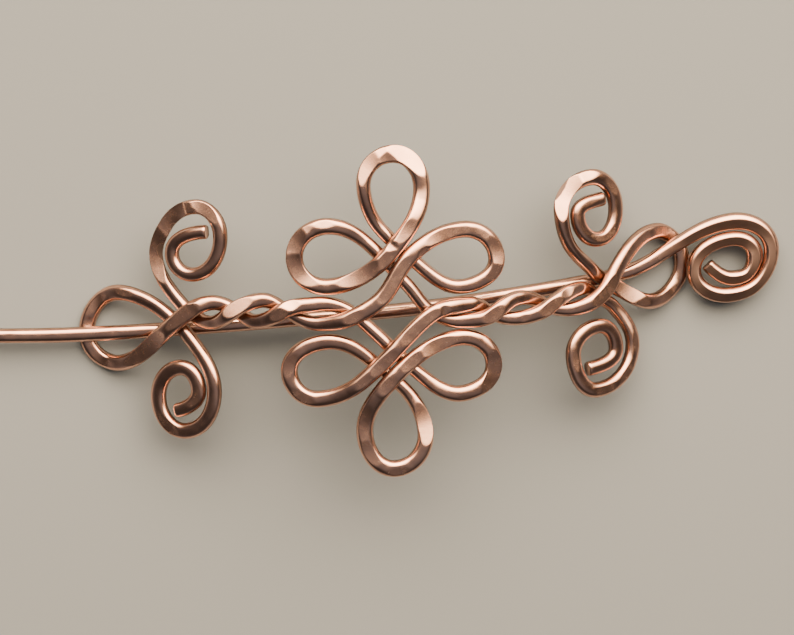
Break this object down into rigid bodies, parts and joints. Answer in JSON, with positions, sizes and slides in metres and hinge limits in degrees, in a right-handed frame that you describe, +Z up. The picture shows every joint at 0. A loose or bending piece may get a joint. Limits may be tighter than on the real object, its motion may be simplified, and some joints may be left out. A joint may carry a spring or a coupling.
{
  "type": "hair slide with hair stick",
  "caption": "Arched hair slide of knotted, hammered copper wire, worn over gathered hair and held by a wire stick with a spiral head.",
  "frame": {"origin": "on the floor, straight below the crown of the arch, halfway between the two end loops", "axes": "+X along the slide towards the stick's spiral head, +Y across it, +Z up through the crown"},
  "size_m": [0.1463, 0.0491, 0.0158],
  "materials": {
    "hammered_copper": "hammered and polished copper wire"
  },
  "bodies": {
    "slide": {"knot_wire_a": "hammered_copper", "knot_wire_b": "hammered_copper"},
    "stick": {"hair_stick": "hammered_copper"}
  },
  "joints": [
    {"name": "stick_slide", "type": "slide", "parent": "slide", "child": "stick", "axis": [0.9996, 0.0297, 0], "range_m": [0, 0.14]}
  ]
}
